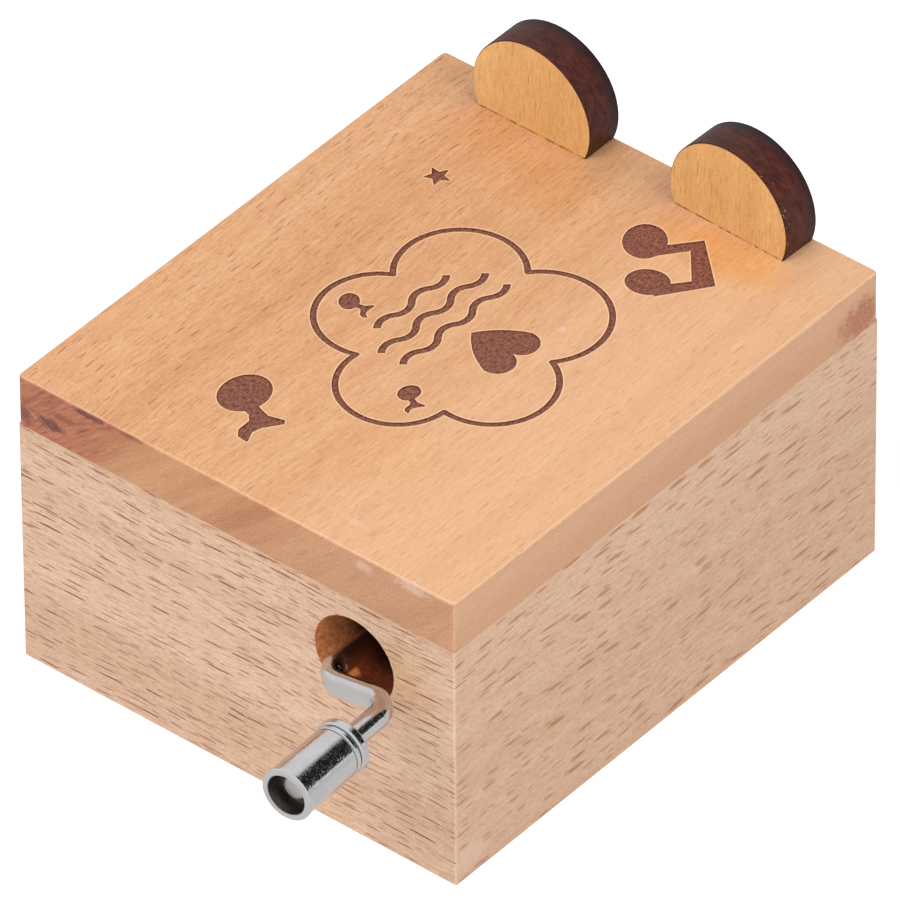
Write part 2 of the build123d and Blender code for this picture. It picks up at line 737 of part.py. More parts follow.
def cylinder_bracket():
    """A bent steel strip that holds the cylinder's left end."""
    half = bracket_width / 2
    top = arbor_z + half
    upright = block(left_bracket_out, left_bracket_in, arbor_y - half, arbor_y + half, bed_top, arbor_z)
    crown = around_arbor(left_bracket_out) * extrude(Circle(half), amount=sheet)
    crown &= block(left_bracket_out, left_bracket_in, arbor_y - half, arbor_y + half, arbor_z, top)
    foot = block(bracket_foot_end, left_bracket_out, arbor_y - half, arbor_y + half, bed_top, bed_top + sheet)
    piece = upright + crown + foot
    piece -= rod((left_bracket_out - 1, arbor_y, arbor_z), (left_bracket_in + 1, arbor_y, arbor_z),
                 arbor_diameter + 2 * running_clearance)
    x, y = bracket_screw_places()[0]
    hole = bracket_screw[0] + 2 * screw_clearance
    return piece - rod((x, y, bed_top - 1), (x, y, bed_top + sheet + 1), hole)


def crank_leg(y0, y1):
    """One upright of the drive bracket, rounded over the crank's bearing."""
    leg = block(drive_left, crank_x + drive_leg_half, y0, y1, bed_top, crank_z)
    crown = rod((crank_x, y0, crank_z), (crank_x, y1, crank_z), 2 * drive_leg_half)
    return leg + crown


def drive_bracket():
    """A bent steel frame: two legs carry the crank, and the side leg carries the arbor."""
    floor = block(drive_left, side_leg_out, front_leg_out, rear_leg_out, bed_top, bed_top + sheet)
    side_half = bracket_width / 2
    side_leg = block(side_leg_in, side_leg_out, arbor_y - side_half, arbor_y + side_half, bed_top, arbor_z)
    side_leg += rod((side_leg_in, arbor_y, arbor_z), (side_leg_out, arbor_y, arbor_z), bracket_width)
    frame = floor + side_leg + crank_leg(front_leg_out, front_leg_in) + crank_leg(rear_leg_in, rear_leg_out)
    frame -= rod((crank_x, front_leg_out - 1, crank_z), (crank_x, rear_leg_out + 1, crank_z),
                 wire_diameter + 2 * running_clearance)
    frame -= rod((side_leg_in - 1, arbor_y, arbor_z), (side_leg_out + 1, arbor_y, arbor_z),
                 arbor_diameter + 2 * running_clearance)
    hole = bracket_screw[0] + 2 * screw_clearance
    for x, y in bracket_screw_places()[1:]:
        frame -= rod((x, y, bed_top - 1), (x, y, bed_top + sheet + 1), hole)
    return frame


def base_screws():
    """Four wood screws that hold the base board to the front and back walls."""
    places = [(x, y) for x in (-wood_screw_x, wood_screw_x) for y in (-wood_screw_y, wood_screw_y)]
    return Compound([screw(x, y, seat_of_wood_screw(), 1, wood_screw, wood_screw_bite) for x, y in places])


def movement_screws():
    """Three machine screws that hold the bedplate to the base board."""
    bite = base_thickness - seat_of_movement_screw() + movement_screw_bite
    places = movement_screw_places()
    return Compound([screw(x, y, seat_of_movement_screw(), 1, movement_screw, bite) for x, y in places])


def comb_screws():
    """Two screws that clamp the comb on its seat."""
    bite = comb_base_thickness + comb_screw_bite
    places = [(sleeve_mid + side * comb_screw_x, comb_screw_y) for side in (-1, 1)]
    return Compound([screw(x, y, comb_top, -1, comb_screw, bite) for x, y in places])


def bracket_screws():
    """Three short screws that hold the brackets on the bedplate."""
    bite = sheet + bracket_screw_bite - head_recess
    places = bracket_screw_places()
    return Compound([screw(x, y, bed_top + sheet, -1, bracket_screw, bite) for x, y in places])


nodes = {
    "front_wall": case_wall("front"),
    "back_wall": case_wall("back"),
    "left_wall": case_wall("left"),
    "right_wall": case_wall("right"),
    "base_board": base_board(),
    "lid_board": lid_board(),
    "left_ear": ear(left_ear_inset - half_width, left_ear_rise, left_ear_turn),
    "right_ear": ear(half_width - right_ear_inset, right_ear_rise, right_ear_turn),
    "base_screws": base_screws(),
    "movement_screws": movement_screws(),
    "bedplate": bedplate(),
    "cylinder_bracket": cylinder_bracket(),
    "drive_bracket": drive_bracket(),
    "bracket_screws": bracket_screws(),
    "comb": comb(),
    "comb_weights": comb_weights(),
    "comb_screws": comb_screws(),
    "cylinder_sleeve": cylinder_sleeve(),
    "left_end_cap": end_cap(True),
    "right_end_cap": end_cap(False),
    "cylinder_arbor": cylinder_arbor(),
    "worm_wheel": worm_wheel(),
    "worm": worm(),
    "crank_wire": crank_wire(),
    "crank_clip": crank_clip(),
    "crank_knob": crank_knob(),
}

os.makedirs("parts", exist_ok=True)
for name, shape in nodes.items():
    export_step(shape, f"parts/{name}.step")

print("crank axis", crank_x, crank_z, "arbor", arbor_y, round(arbor_z, 3))
print("knob axis from", tuple(knob_start), "along", tuple(pin_direction))
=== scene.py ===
import json
from math import cos, radians, sin

import bpy
from mathutils import Matrix, Vector


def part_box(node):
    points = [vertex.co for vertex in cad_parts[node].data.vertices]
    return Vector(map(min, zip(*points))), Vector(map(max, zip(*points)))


# Looks of a hand cranked wooden music box.  Places on the box are in millimetres.  The floor, the
# card, the lights and the camera are in metres.  +X runs along the crank side, which faces -Y, and
# +Z is up.

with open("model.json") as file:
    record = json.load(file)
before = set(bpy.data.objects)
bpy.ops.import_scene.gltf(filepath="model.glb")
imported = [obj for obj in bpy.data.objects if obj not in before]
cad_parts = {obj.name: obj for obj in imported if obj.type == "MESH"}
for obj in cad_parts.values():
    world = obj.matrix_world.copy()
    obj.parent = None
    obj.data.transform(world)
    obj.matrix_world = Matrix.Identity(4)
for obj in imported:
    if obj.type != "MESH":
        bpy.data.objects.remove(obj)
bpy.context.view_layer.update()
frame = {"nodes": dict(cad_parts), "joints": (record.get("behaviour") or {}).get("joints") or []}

MM = 1000.0

# ---- places taken from the frame, in millimetres ----


def corners(node):
    """Lowest and highest corner of a piece, in millimetres."""
    low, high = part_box(node)
    return low * MM, high * MM


lid_low, lid_high = corners("lid_board")
knob_joint = next(joint for joint in frame["joints"] if joint["name"] == "knob_spin")
crank_joint = next(joint for joint in frame["joints"] if joint["name"] == "crank_spin")

case_half = ((lid_high.x - lid_low.x) / 2, (lid_high.y - lid_low.y) / 2, lid_high.z / 2)
case_middle = (0.0, 0.0, lid_high.z / 2)
lid_top = lid_high.z
front_face = lid_low.y
shaft_x = crank_joint["pos_m"][0] * MM
shaft_z = crank_joint["pos_m"][2] * MM
hole_shift_x = 0.45
hole_shift_z = -0.4
hole_middle = (shaft_x + hole_shift_x, 0.0, shaft_z + hole_shift_z)
hole_radius = 4.85
knob_point = tuple(value * MM for value in knob_joint["pos_m"])
knob_axis = tuple(knob_joint["axis"])
mouth_floor = 7.25
mouth_radius = 2.125
rivet_radius = 1.45


# ---------------------------------------------------------------- writing node trees

class Recipe:
    """Writes a node tree step by step.  Each step takes numbers, colours or earlier results."""

    def __init__(self, tree):
        self.tree = tree

    def add(self, kind, values=(), **settings):
        """A node with its settings made and its inputs given."""
        node = self.tree.nodes.new(kind)
        for name, value in settings.items():
            setattr(node, name, value)
        for key, value in dict(values).items():
            self.give(node.inputs[key], value)
        return node

    def give(self, socket, value):
        """Links an earlier result to an input, or sets a plain value on it."""
        if isinstance(value, bpy.types.NodeSocket):
            self.tree.links.new(value, socket)
        else:
            socket.default_value = value

    def use(self, group, **values):
        """Places a shared effect.  Spaces in its input names are written as underscores."""
        node = self.add("ShaderNodeGroup", node_tree=group)
        for name, value in values.items():
            self.give(node.inputs[name.replace("_", " ")], value)
        return node.outputs

    def maths(self, operation, *values):
        """One sum on numbers."""
        return self.add("ShaderNodeMath", enumerate(values), operation=operation).outputs[0]

    def vectors(self, operation, *values):
        """One sum on vectors."""
        node = self.add("ShaderNodeVectorMath", enumerate(values), operation=operation)
        return node.outputs["Value" if operation in ("LENGTH", "DOT_PRODUCT") else "Vector"]

    def split(self, vector):
        """The three parts of a vector."""
        return self.add("ShaderNodeSeparateXYZ", {0: vector}).outputs[:3]

    def join(self, x, y, z=0.0):
        """A vector from its parts."""
        return self.add("ShaderNodeCombineXYZ", enumerate((x, y, z))).outputs[0]

    def rise(self, value, start, end):
        """A smooth rise from 0 at start to 1 at end.  Start may be the larger of the two."""
        values = {"Value": value, "From Min": start, "From Max": end}
        return self.add("ShaderNodeMapRange", values, interpolation_type="SMOOTHSTEP").outputs[0]

    def blend(self, share, first, second):
        """The first colour at share 0, the second at share 1."""
        values = {"Factor": share, 6: first, 7: second}
        return self.add("ShaderNodeMix", values, data_type="RGBA").outputs[2]

    def tint(self, share, first, second):
        """The first colour darkened by the second, as a stain does."""
        values = {"Factor": share, 6: first, 7: second}
        return self.add("ShaderNodeMix", values, data_type="RGBA", blend_type="MULTIPLY").outputs[2]

    def noise(self, vector, scale, detail=2.0, roughness=0.5, distortion=0.0):
        """Soft noise from 0 to 1."""
        values = {"Vector": vector, "Scale": scale, "Detail": detail, "Roughness": roughness,
                  "Distortion": distortion}
        return self.add("ShaderNodeTexNoise", values).outputs["Fac"]


def effect(name, inputs, outputs, write):
    """A shared effect as a node group.  Write gets recipe and inputs, and returns the outputs."""
    tree = bpy.data.node_groups.new(name, "ShaderNodeTree")
    for socket_name, start in inputs.items():
        kind = "NodeSocketFloat" if isinstance(start, float) else "NodeSocketVector"
        socket = tree.interface.new_socket(name=socket_name, in_out="INPUT", socket_type=kind)
        socket.default_value = start
    for socket_name in outputs:
        tree.interface.new_socket(name=socket_name, in_out="OUTPUT", socket_type="NodeSocketFloat")
    source = tree.nodes.new("NodeGroupInput")
    target = tree.nodes.new("NodeGroupOutput")
    recipe = Recipe(tree)
    results = write(recipe, *source.outputs[:len(inputs)])
    for socket_name, result in zip(outputs, results):
        recipe.give(target.inputs[socket_name], result)
    return tree


# ---------------------------------------------------------------- shared effects

def write_flecks(recipe, along, across, length, width, pitch_along, pitch_across, share, crisp,
                 seed):
    """Short pointed dashes scattered over a face, as cut rays show on beech."""
    place = recipe.join(recipe.maths("DIVIDE", along, pitch_along),
                        recipe.maths("DIVIDE", across, pitch_across))
    place = recipe.vectors("ADD", place, recipe.join(seed, recipe.maths("MULTIPLY", seed, 1.7)))
    cells = recipe.add("ShaderNodeTexVoronoi", {"Vector": place, "Scale": 1.0, "Randomness": 0.95},
                       voronoi_dimensions="2D")
    offset = recipe.vectors("SUBTRACT", place, cells.outputs["Position"])
    off_along, off_across, _ = recipe.split(offset)
    chance, longer, darker = recipe.split(cells.outputs["Color"])
    reach = recipe.maths("MULTIPLY", length, recipe.maths("MULTIPLY_ADD", longer, 0.9, 0.35))
    half = recipe.maths("MULTIPLY", width, recipe.maths("MULTIPLY_ADD", darker, 0.8, 0.5))
    part_along = recipe.maths("DIVIDE", recipe.maths("MULTIPLY", off_along, pitch_along), reach)
    part_across = recipe.maths("DIVIDE", recipe.maths("MULTIPLY", off_across, pitch_across), half)
    rough = recipe.maths("SUBTRACT", recipe.noise(recipe.join(along, across, seed), 4.0, 2.0), 0.5)
    far = recipe.maths("MULTIPLY_ADD", rough, 0.7,
                       recipe.vectors("LENGTH", recipe.join(part_along, part_across)))
    mask = recipe.rise(far, 1.0, crisp)
    there = recipe.maths("LESS_THAN", chance, share)
    strength = recipe.maths("MULTIPLY_ADD", longer, 0.60, 0.40)
    return [recipe.maths("MULTIPLY", recipe.maths("MULTIPLY", mask, there), strength)]


flecks = effect(
    "wood_flecks",
    {"Along": 0.0, "Across": 0.0, "Length": 1.0, "Width": 0.1, "Pitch Along": 4.0,
     "Pitch Across": 1.2, "Share": 0.7, "Crisp": 0.6, "Seed": 0.0},
    ["Mask"],
    write_flecks,
)


def write_grain(recipe, along, across, depth, wander, wander_length, stretch, fineness):
    """Lines of the grain: how far they wander sideways, bands of tone, fine fibres and speckle."""
    slow = recipe.join(recipe.maths("DIVIDE", along, wander_length),
                       recipe.maths("MULTIPLY", across, 0.05), depth)
    sway = recipe.maths("SUBTRACT", recipe.noise(slow, 1.0, 1.0), 0.5)
    bent = recipe.maths("MULTIPLY_ADD", sway, wander, across)
    bands = recipe.noise(recipe.join(recipe.maths("MULTIPLY", along, 0.018), bent, depth), 0.22,
                         2.0, 0.55)
    fibre_place = recipe.join(recipe.maths("DIVIDE", along, stretch), bent, depth)
    fibres = recipe.noise(fibre_place, fineness, 4.0, 0.7)
    speckle = recipe.noise(recipe.join(recipe.maths("MULTIPLY", along, 0.6), across, depth), 5.0,
                           2.0, 0.7)
    return [bent, bands, fibres, speckle]


grain = effect(
    "wood_grain",
    {"Along": 0.0, "Across": 0.0, "Depth": 0.0, "Wander": 2.0, "Wander Length": 25.0,
     "Stretch": 14.0, "Fineness": 3.0},
    ["Bent Across", "Bands", "Fibres", "Speckle"],
    write_grain,
)


def write_edges(recipe, place, middle, half, width, seed):
    """A thin uneven line along the edges of a box, where wood is rubbed pale and a painted
    highlight lies on the edge.
    """
    off_middle = recipe.vectors("ABSOLUTE", recipe.vectors("SUBTRACT", place, middle))
    x, y, z = recipe.split(recipe.vectors("SUBTRACT", half, off_middle))
    low = recipe.maths("MINIMUM", x, y)
    high = recipe.maths("MAXIMUM", x, y)
    distance = recipe.maths("MAXIMUM", low, recipe.maths("MINIMUM", high, z))
    nicks = recipe.noise(recipe.vectors("ADD", place, recipe.join(seed, seed, seed)), 0.8, 5.0,
                         0.75)
    reach = recipe.maths("MULTIPLY", width, recipe.maths("MULTIPLY_ADD", nicks, 3.6, -0.75))
    return [recipe.rise(recipe.maths("DIVIDE", distance, recipe.maths("MAXIMUM", reach, 0.02)),
                        1.15, 0.6)]


edges = effect(
    "rubbed_and_highlit_edges",
    {"Place": (0.0, 0.0, 0.0), "Middle": case_middle, "Half": case_half, "Width": 0.3, "Seed": 0.0},
    ["Mask"],
    write_edges,
)


def write_patch(recipe, place, middle, reach, ragged, fineness):
    """A soft patch with ragged borders, such as a scorch, a scuff or a stain."""
    away = recipe.vectors("DIVIDE", recipe.vectors("SUBTRACT", place, middle), reach)
    far = recipe.vectors("LENGTH", away)
    rough = recipe.maths("SUBTRACT", recipe.noise(place, fineness, 5.0, 0.7), 0.5)
    return [recipe.rise(recipe.maths("MULTIPLY_ADD", rough, ragged, far), 1.0, 0.35)]


patch = effect(
    "ragged_patch",
    {"Place": (0.0, 0.0, 0.0), "Middle": (0.0, 0.0, 0.0), "Reach": (1.0, 1.0, 1.0), "Ragged": 0.8,
     "Fineness": 1.2},
    ["Mask"],
    write_patch,
)


# ---------------------------------------------------------------- finishes

def finish_named(name):
    """A new material with its recipe and its shader."""
    material = bpy.data.materials.new(name)
    material.use_nodes = True
    material.node_tree.nodes.clear()
    recipe = Recipe(material.node_tree)
    shader = recipe.add("ShaderNodeBsdfPrincipled")
    recipe.add("ShaderNodeOutputMaterial", {"Surface": shader.outputs[0]})
    return material, recipe, shader


def surface(recipe):
    """Where a point lies on the piece, in millimetres, and which way its face looks."""
    source = recipe.add("ShaderNodeTexCoord")
    place = recipe.vectors("MULTIPLY", source.outputs["Object"], (MM, MM, MM))
    facing = recipe.vectors("ABSOLUTE", source.outputs["Normal"])
    return place, recipe.split(place), recipe.split(facing)


def bump(recipe, shader, height, depth_mm, strength=1.0):
    """Lets a height from 0 to 1 raise the surface by depth_mm."""
    node = recipe.add("ShaderNodeBump",
                      {"Height": height, "Distance": depth_mm / MM, "Strength": strength})
    recipe.give(shader.inputs["Normal"], node.outputs[0])


def share_of(recipe, mask, share):
    """A mask made fainter."""
    return recipe.maths("MULTIPLY", mask, share)


speckle_tint = (0.62, 0.55, 0.50, 1)


def fibred(recipe, lines, look):
    """The base tones of bare wood: bands, fibres along the grain and fine speckle."""
    colour = recipe.blend(recipe.rise(lines["Bands"], 0.25, 0.75), look["light"], look["dark"])
    fibres = recipe.rise(lines["Fibres"], 0.40, 0.72)
    colour = recipe.blend(share_of(recipe, fibres, look["fibre_share"]), colour, look["fibre"])
    pale = recipe.rise(lines["Fibres"], 0.46, 0.28)
    colour = recipe.blend(share_of(recipe, pale, look["fibre_share"] * 0.6), colour, look["pale"])
    speckle = recipe.rise(lines["Speckle"], 0.35, 0.75)
    return recipe.tint(share_of(recipe, speckle, look["speckle_share"]), colour, speckle_tint)


def dashed(recipe, along, across, layers, colour):
    """Dashes of several sizes, with the colour of each layer."""
    marks = 0.0
    for dash_colour, dash_share, layer in layers:
        mask = recipe.use(flecks, Along=along, Across=across, **layer)["Mask"]
        colour = recipe.blend(share_of(recipe, mask, dash_share), colour, dash_colour)
        marks = recipe.maths("MAXIMUM", marks, mask)
    return colour, marks


def dash_layer(colour, strength, length, width, pitch, share, crisp, seed):
    """One size of dash: colour and strength, then size, spacing and how many places hold one."""
    spread = {"Length": length, "Width": width, "Pitch_Along": pitch[0], "Pitch_Across": pitch[1],
              "Share": share, "Crisp": crisp, "Seed": seed}
    return colour, strength, spread


def patched(recipe, mix, colour, tone, place, spots, ragged, fineness):
    """Ragged patches of one tone.  Each spot gives its middle, its reach and its strength."""
    for middle, reach, strength in spots:
        mask = recipe.use(patch, Place=place, Middle=middle, Reach=reach, Ragged=ragged,
                          Fineness=fineness)["Mask"]
        colour = mix(share_of(recipe, mask, strength), colour, tone)
    return colour


def case_beech(name, along_axis, look):
    """Sanded beech on a wall, up to its colour: fine fibres, and dashes along the grain."""
    material, recipe, shader = finish_named(name)
    place, (x, y, z), (_, _, face_z) = surface(recipe)
    along = x if along_axis == "x" else y
    thickness = y if along_axis == "x" else x
    upward = recipe.maths("GREATER_THAN", face_z, 0.6)
    across = recipe.add("ShaderNodeMix", {"Factor": upward, 2: z, 3: thickness}).outputs[0]
    lines = recipe.use(grain, Along=along, Across=across, Depth=look["seed"], Wander=look["wander"],
                       Wander_Length=look["wander_length"], Stretch=look["stretch"],
                       Fineness=look["fineness"])
    colour = fibred(recipe, lines, look)
    colour, marks = dashed(recipe, along, lines["Bent Across"], look["dashes"], colour)
    return material, recipe, shader, place, lines, colour, marks


# Tones of the hole's wall. The grain and scorch are the wood's own. The orange at the left is
# painted light. The red brown elsewhere, the black inner end and the dark top are painted shade.
# The glint is a painted highlight.
bore_tones_with_painted_light = {
    "left": (0.900, 0.370, 0.145, 1), "lit_left_dark": (0.480, 0.140, 0.050, 1),
    "below": (0.330, 0.080, 0.026, 1), "shaded_below_dark": (0.130, 0.032, 0.014, 1),
    "glint": (0.950, 0.330, 0.090, 1), "shaded_inner_end": (0.026, 0.009, 0.006, 1),
    "shaded_roof": (0.060, 0.020, 0.012, 1),
}
# Middle, reach and strength of the painted glint, a highlight in the hole.
bore_glint = ((12.6, front_face + 2.5, 17.3), (0.6, 0.8, 0.6), 0.8)


def scorched_bore_with_painted_light(recipe, place, colour):
    """The drilled hole's wall, scorched, with painted light and shade: lit orange at the left,
    shaded red brown elsewhere, black at its inner end and dark at its top, with a painted glint.
    """
    x, y, z = recipe.split(place)
    flat = recipe.join(x, 0.0, z)
    radius = recipe.vectors("LENGTH", recipe.vectors("SUBTRACT", flat, hole_middle))
    on_bore = recipe.rise(radius, hole_radius + 0.06, hole_radius + 0.01)
    depth = recipe.maths("SUBTRACT", y, front_face)
    fuzz = recipe.noise(recipe.vectors("MULTIPLY", place, (2.0, 1.0, 2.0)), 1.5, 5.0, 0.75)
    orange = recipe.blend(recipe.rise(fuzz, 0.32, 0.70), bore_tones_with_painted_light["left"],
                          bore_tones_with_painted_light["lit_left_dark"])
    # Painted shade: red brown where little light reaches the wall.
    below = recipe.blend(recipe.rise(fuzz, 0.32, 0.70), bore_tones_with_painted_light["below"],
                         bore_tones_with_painted_light["shaded_below_dark"])
    # Painted light: orange towards the left, where light falls into the hole.
    lit_from_left = recipe.rise(recipe.maths("SUBTRACT", x, hole_middle[0]), -2.3, -4.4)
    bore = recipe.blend(lit_from_left, below, orange)
    # A painted highlight: an orange glint on the wall.
    bore = patched(recipe, recipe.blend, bore, bore_tones_with_painted_light["glint"], place, [bore_glint],
                   ragged=1.4, fineness=1.6)
    # Painted shade: black towards the inner end of the hole.
    bore = recipe.blend(recipe.rise(depth, 3.6, 6.8), bore, bore_tones_with_painted_light["shaded_inner_end"])
    # Painted shade: dark towards the top of the hole.
    high = recipe.maths("SUBTRACT", z, shaft_z)
    bore = recipe.blend(recipe.rise(high, 1.5, 5.2), bore, bore_tones_with_painted_light["shaded_roof"])
    return recipe.blend(on_bore, colour, bore), radius


front_look = {
    "seed": 3.1, "wander": 3.0, "wander_length": 26.0, "stretch": 9.0, "fineness": 3.2,
    "light": (0.712, 0.500, 0.360, 1), "dark": (0.624, 0.415, 0.286, 1),
    "pale": (0.810, 0.620, 0.490, 1),
    "fibre": (0.450, 0.215, 0.120, 1), "fibre_share": 0.50, "speckle_share": 0.46,
    "wear_and_edge_highlight": (0.720, 0.535, 0.410, 1), "crank_shadow": (0.96, 0.86, 0.68, 1),
    "smudge": (0.74, 0.60, 0.50, 1),
    "bare_rim": (0.78, 0.60, 0.46, 1),
    "dashes": [
        dash_layer((0.215, 0.058, 0.028, 1), 0.90, length=1.60, width=0.105, pitch=(3.4, 0.95),
                   share=0.66, crisp=0.70, seed=2.3),
        dash_layer((0.300, 0.098, 0.050, 1), 0.80, length=0.85, width=0.075, pitch=(2.2, 0.62),
                   share=0.50, crisp=0.60, seed=8.9),
    ],
}

side_look = {
    "seed": 7.7, "wander": 7.0, "wander_length": 34.0, "stretch": 7.0, "fineness": 2.6,
    "light": (0.616, 0.416, 0.290, 1), "dark": (0.550, 0.355, 0.238, 1),
    "pale": (0.710, 0.510, 0.382, 1),
    "fibre": (0.410, 0.220, 0.128, 1), "fibre_share": 0.38, "speckle_share": 0.42,
    "wear_and_edge_highlight": (0.660, 0.485, 0.375, 1), "dusty": (0.640, 0.500, 0.420, 1),
    "dashes": [
        dash_layer((0.345, 0.145, 0.068, 1), 0.85, length=1.55, width=0.26, pitch=(4.6, 1.50),
                   share=0.62, crisp=0.45, seed=5.2),
        dash_layer((0.365, 0.160, 0.080, 1), 0.80, length=1.05, width=0.15, pitch=(3.0, 1.00),
                   share=0.50, crisp=0.45, seed=1.4),
    ],
}

base_look = {
    "seed": 12.4, "wander": 2.5, "wander_length": 24.0, "stretch": 9.0, "fineness": 3.0,
    "light": (0.640, 0.425, 0.290, 1), "dark": (0.555, 0.345, 0.225, 1),
    "pale": (0.730, 0.520, 0.385, 1),
    "fibre": (0.400, 0.215, 0.125, 1), "fibre_share": 0.45, "speckle_share": 0.45,
    "dashes": [
        dash_layer((0.200, 0.075, 0.042, 1), 0.80, length=1.50, width=0.12, pitch=(3.6, 1.10),
                   share=0.55, crisp=0.60, seed=4.4),
    ],
}


def close_wood(recipe, shader, colour, lines, marks, wear_and_edge_highlight):
    """The last steps of a bare wood finish: colour, roughness and the relief of the grain."""
    recipe.give(shader.inputs["Base Color"], colour)
    rough = recipe.maths("MULTIPLY_ADD", lines["Fibres"], 0.18, 0.50)
    recipe.give(shader.inputs["Roughness"], recipe.maths("MULTIPLY_ADD", wear_and_edge_highlight, 0.06, rough))
    shader.inputs["Specular IOR Level"].default_value = 0.30
    relief = recipe.maths("MULTIPLY_ADD", lines["Speckle"], 0.6, lines["Fibres"])
    relief = recipe.maths("SUBTRACT", relief, marks)
    bump(recipe, shader, relief, depth_mm=0.05, strength=0.6)


def front_beech():
    """Front and back walls."""
    material, recipe, shader, place, lines, colour, marks = case_beech("front_beech", "x",
                                                                       front_look)
    # Edges rubbed pale, with a painted highlight along them.
    wear_and_edge_highlight = recipe.use(edges, Place=place, Width=0.22, Seed=4.0)["Mask"]
    colour = recipe.blend(share_of(recipe, wear_and_edge_highlight, 0.45), colour, front_look["wear_and_edge_highlight"])
    # Painted shadow of the crank: a warmer, darker patch on the wall beside the hole.
    crank_shadow = ((20.5, front_face, 22.5), (5.0, 6.0, 6.5), 0.6)
    colour = patched(recipe, recipe.tint, colour, front_look["crank_shadow"], place, [crank_shadow],
                     ragged=0.6, fineness=0.3)
    smudge = ((-19.5, front_face, 0.8), (1.5, 2.0, 0.9), 0.4)
    colour = patched(recipe, recipe.blend, colour, front_look["smudge"], place, [smudge],
                     ragged=1.4, fineness=2.2)
    colour, radius = scorched_bore_with_painted_light(recipe, place, colour)
    from_rim = recipe.maths("ABSOLUTE", recipe.maths("SUBTRACT", radius, hole_radius + 0.04))
    rim = recipe.rise(from_rim, 0.10, 0.03)
    outside = recipe.rise(recipe.maths("SUBTRACT", recipe.split(place)[1], front_face), 0.15, 0.03)
    chips = recipe.rise(recipe.noise(place, 1.6, 4.0, 0.7), 0.45, 0.62)
    at_right = recipe.rise(recipe.split(place)[0], hole_middle[0], hole_middle[0] + 2.5)
    rim = recipe.maths("MULTIPLY", recipe.maths("MULTIPLY", rim, outside),
                       recipe.maths("MULTIPLY", chips, at_right))
    colour = recipe.blend(share_of(recipe, rim, 0.7), colour, front_look["bare_rim"])
    close_wood(recipe, shader, colour, lines, marks, wear_and_edge_highlight)
    return material


def side_beech():
    """Left and right walls."""
    material, recipe, shader, place, lines, colour, marks = case_beech("side_beech", "y", side_look)
    # Edges rubbed pale, with a painted highlight along them.
    wear_and_edge_highlight = recipe.use(edges, Place=place, Width=0.20, Seed=9.0)["Mask"]
    colour = recipe.blend(share_of(recipe, wear_and_edge_highlight, 0.40), colour, side_look["wear_and_edge_highlight"])
    dusty = ((case_half[0], -29.5, 2.6), (2.0, 3.2, 2.0), 0.35)
    colour = patched(recipe, recipe.blend, colour, side_look["dusty"], place, [dusty],
                     ragged=1.2, fineness=0.9)
    close_wood(recipe, shader, colour, lines, marks, wear_and_edge_highlight)
    return material


def base_beech():
    """Bottom board."""
    material, recipe, shader, _, lines, colour, marks = case_beech("base_beech", "y", base_look)
    close_wood(recipe, shader, colour, lines, marks, 0.0)
    return material


top_look = {
    "light": (0.756, 0.427, 0.228, 1), "dark": (0.650, 0.330, 0.156, 1),
    "pale": (0.870, 0.560, 0.345, 1),
    "fibre": (0.490, 0.205, 0.083, 1), "fibre_share": 0.46, "speckle_share": 0.36,
    # The cloud tone darkens and warms the lid: painted shade and bounced light beside the ears.
    "right": (0.775, 0.478, 0.293, 1), "cloud": (0.98, 0.86, 0.60, 1),
}

# Middle, reach and strength of each warm patch on the lid's top. The three beside the ears are
# painted shade warmed by painted light bounced from the ears; the one towards the front only warms
# the tone.
top_warm_and_ear_bounce_patches = (
    ((-13.0, 24.0, lid_top), (8.0, 3.6, 5.0), 0.30),
    ((-5.0, 22.5, lid_top), (5.5, 5.0, 5.0), 0.40),
    ((14.0, 24.5, lid_top), (9.5, 4.2, 5.0), 1.00),
    ((8.0, -19.0, lid_top), (8.0, 9.0, 5.0), 0.15),
)


def lid_top_colour(recipe, place, x, y):
    """Long grain seen from above: warm tan with streaks and short flecks, and orange patches, those
    beside the ears painted shade warmed by light bounced from them.
    """
    lines = recipe.use(grain, Along=y, Across=x, Depth=1.3, Wander=3.5, Wander_Length=34.0,
                       Stretch=9.0, Fineness=3.0)
    colour = fibred(recipe, lines, top_look)
    to_right = recipe.rise(x, -8.0, 24.0)
    colour = recipe.blend(share_of(recipe, to_right, 0.45), colour, top_look["right"])
    faint = recipe.maths("MULTIPLY_ADD", recipe.rise(x, 8.0, -20.0), 0.40, 0.30)
    layers = [
        dash_layer((0.300, 0.088, 0.030, 1), faint, length=0.85, width=0.095, pitch=(2.4, 1.15),
                   share=0.60, crisp=0.50, seed=3.3),
        dash_layer((0.370, 0.125, 0.045, 1), faint, length=0.45, width=0.070, pitch=(1.3, 0.62),
                   share=0.45, crisp=0.50, seed=7.6),
    ]
    colour, marks = dashed(recipe, y, lines["Bent Across"], layers, colour)
    # Painted shade and bounced light beside the ears, and a faint warm patch towards the front.
    colour = patched(recipe, recipe.tint, colour, top_look["cloud"], place, top_warm_and_ear_bounce_patches,
                     ragged=0.7, fineness=0.22)
    return colour, lines, marks


end_tones = {
    "light": (0.575, 0.298, 0.153, 1), "dark": (0.455, 0.200, 0.092, 1),
    "right": (0.600, 0.340, 0.200, 1),
    "pores": (0.60, 0.50, 0.44, 1), "streak": (0.330, 0.110, 0.045, 1),
    "pale": (0.720, 0.430, 0.270, 1),
    "red": (0.480, 0.165, 0.082, 1), "dark_red": (0.205, 0.052, 0.032, 1),
    "burnt": (0.095, 0.024, 0.020, 1),
    "scratch": (0.640, 0.390, 0.290, 1),
}

